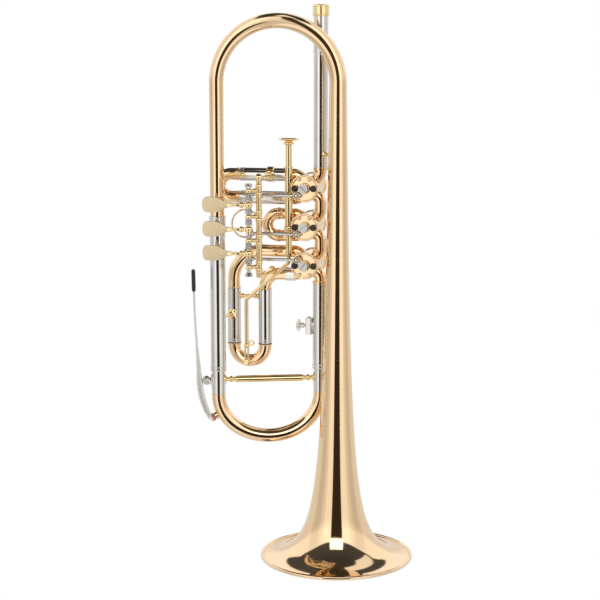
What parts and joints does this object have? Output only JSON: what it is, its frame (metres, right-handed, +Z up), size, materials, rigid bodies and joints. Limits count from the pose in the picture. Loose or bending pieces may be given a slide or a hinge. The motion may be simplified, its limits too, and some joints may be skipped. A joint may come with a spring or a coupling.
{
  "type": "trumpet",
  "caption": "Rotary-valve trumpet with finger levers and ball links, a thumb trigger on the third slide, a long water key and a lyre holder, standing on its bell.",
  "frame": {"origin": "centre of the bounding box's footprint, in the plane that the bell's rim rests on", "axes": "+Z up along the bell's axis, from the rim to the mouthpiece end; +X towards the bell from the tubing loop; -Y towards the player's finger levers"},
  "size_m": [0.1862, 0.13, 0.4685],
  "materials": {
    "gold_brass": "polished gold brass under clear lacquer",
    "yellow_brass": "polished yellow brass under clear lacquer",
    "nickel_silver": "polished nickel silver",
    "steel": "bright spring steel",
    "satin_brass": "satin brass, matt from the fingers",
    "cork": "soft red-brown pad"
  },
  "bodies": {
    "root": {"bell": "gold_brass", "bow_ferrule": "nickel_silver", "mouthpiece_receiver": "nickel_silver", "leadpipe": "nickel_silver", "main_slide_sleeve_left": "nickel_silver", "main_slide_sleeve_right": "nickel_silver", "valve_knuckle_1_2": "gold_brass", "valve_knuckle_2_3": "gold_brass", "first_slide_sleeve_upper": "nickel_silver", "first_slide_sleeve_lower": "nickel_silver", "second_slide_sleeve_upper": "gold_brass", "second_slide_sleeve_lower": "gold_brass", "third_slide_tube_outer": "gold_brass", "third_slide_tube_inner": "gold_brass", "third_slide_sleeve_left": "nickel_silver", "third_slide_sleeve_right": "nickel_silver", "trigger_guide_tube": "yellow_brass", "lever_rail": "yellow_brass", "lever_hinge_rod": "nickel_silver", "lever_spring_1": "steel", "lever_spring_2": "steel", "lever_spring_3": "steel", "valve_casing_1": "gold_brass", "valve_casing_2": "gold_brass", "valve_casing_3": "gold_brass", "valve_front_plate_1": "yellow_brass", "valve_front_plate_2": "yellow_brass", "valve_front_plate_3": "yellow_brass", "valve_rear_cap_1": "yellow_brass", "valve_rear_cap_2": "yellow_brass", "valve_rear_cap_3": "yellow_brass", "bell_stay_upper": "yellow_brass", "bell_stay_lower": "yellow_brass", "third_slide_leg_stay": "yellow_brass", "first_slide_leg_stay": "yellow_brass", "third_slide_brace": "yellow_brass", "lyre_socket": "nickel_silver"},
    "main_slide": {"main_tuning_bow": "gold_brass", "main_slide_brace": "yellow_brass", "water_key_post": "nickel_silver"},
    "water_key": {"water_key_lever": "nickel_silver", "water_key_pad": "cork"},
    "first_slide": {"first_slide_crook": "gold_brass"},
    "second_slide": {"second_slide_crook": "gold_brass"},
    "third_slide": {"third_slide_crook": "gold_brass", "trigger_plunger": "yellow_brass", "trigger_push_rod": "yellow_brass"},
    "lyre_screw": {"lyre_thumbscrew": "yellow_brass"},
    "lever_1": {"finger_lever_1": "satin_brass"},
    "rotor_1": {"rotor_1": "nickel_silver", "stop_arm_1": "yellow_brass"},
    "link_1": {"linkage_rod_1": "steel"},
    "lever_2": {"finger_lever_2": "satin_brass"},
    "rotor_2": {"rotor_2": "nickel_silver", "stop_arm_2": "yellow_brass"},
    "link_2": {"linkage_rod_2": "steel"},
    "lever_3": {"finger_lever_3": "satin_brass"},
    "rotor_3": {"rotor_3": "nickel_silver", "stop_arm_3": "yellow_brass"},
    "link_3": {"linkage_rod_3": "steel"}
  },
  "joints": [
    {"name": "main_slide_pull", "type": "slide", "parent": "root", "child": "main_slide", "axis": [0, 0, -1], "range_m": [0, 0.022]},
    {"name": "water_key_press", "type": "hinge", "parent": "main_slide", "child": "water_key", "pos_m": [-0.08122, -0.01939, 0.1534], "axis": [-0.3323, 0.9432, 0], "range_deg": [0, 6]},
    {"name": "first_slide_pull", "type": "slide", "parent": "root", "child": "first_slide", "axis": [-1, 0, 0], "range_m": [0, 0.012]},
    {"name": "second_slide_pull", "type": "slide", "parent": "root", "child": "second_slide", "axis": [-1, 0, 0], "range_m": [0, 0.007]},
    {"name": "third_slide_push", "type": "slide", "parent": "root", "child": "third_slide", "axis": [0, 0, -1], "range_m": [0, 0.018]},
    {"name": "lyre_screw_turn", "type": "hinge", "parent": "root", "child": "lyre_screw", "pos_m": [-0.0039, 0.013, 0.1985], "axis": [1, 0, 0], "continuous": true},
    {"name": "lever_1_press", "type": "hinge", "parent": "root", "child": "lever_1", "pos_m": [-0.0389, -0.037, 0.3059], "axis": [0, 0, -1], "range_deg": [0, 22.5]},
    {"name": "rotor_1_turn", "type": "hinge", "parent": "root", "child": "rotor_1", "pos_m": [0.0006, 0.013, 0.3173], "axis": [0, -1, 0], "range_deg": [-0.5, 90.5]},
    {"name": "link_1_swing", "type": "hinge", "parent": "rotor_1", "child": "link_1", "pos_m": [-0.00484, -0.00966, 0.31186], "axis": [0, -1, 0], "range_deg": [-90.5, 0.5]},
    {"name": "lever_2_press", "type": "hinge", "parent": "root", "child": "lever_2", "pos_m": [-0.0389, -0.037, 0.2858], "axis": [0, 0, -1], "range_deg": [0, 22.5]},
    {"name": "rotor_2_turn", "type": "hinge", "parent": "root", "child": "rotor_2", "pos_m": [0.0006, 0.013, 0.2848], "axis": [0, -1, 0], "range_deg": [-0.5, 90.5]},
    {"name": "link_2_swing", "type": "hinge", "parent": "rotor_2", "child": "link_2", "pos_m": [-0.00484, -0.00966, 0.27936], "axis": [0, -1, 0], "range_deg": [-90.5, 0.5]},
    {"name": "lever_3_press", "type": "hinge", "parent": "root", "child": "lever_3", "pos_m": [-0.0389, -0.037, 0.2658], "axis": [0, 0, -1], "range_deg": [0, 22.5]},
    {"name": "rotor_3_turn", "type": "hinge", "parent": "root", "child": "rotor_3", "pos_m": [0.0006, 0.013, 0.2523], "axis": [0, 1, 0], "range_deg": [-0.5, 90.5]},
    {"name": "link_3_swing", "type": "hinge", "parent": "rotor_3", "child": "link_3", "pos_m": [-0.00484, -0.00966, 0.25774], "axis": [0, 1, 0], "range_deg": [-90.5, 0.5]}
  ],
  "couplings": [
    {"joint": "rotor_1_turn", "follows": "lever_1_press", "ratio": 4},
    {"joint": "link_1_swing", "follows": "lever_1_press", "ratio": -4},
    {"joint": "rotor_2_turn", "follows": "lever_2_press", "ratio": 4},
    {"joint": "link_2_swing", "follows": "lever_2_press", "ratio": -4},
    {"joint": "rotor_3_turn", "follows": "lever_3_press", "ratio": 4},
    {"joint": "link_3_swing", "follows": "lever_3_press", "ratio": -4}
  ]
}
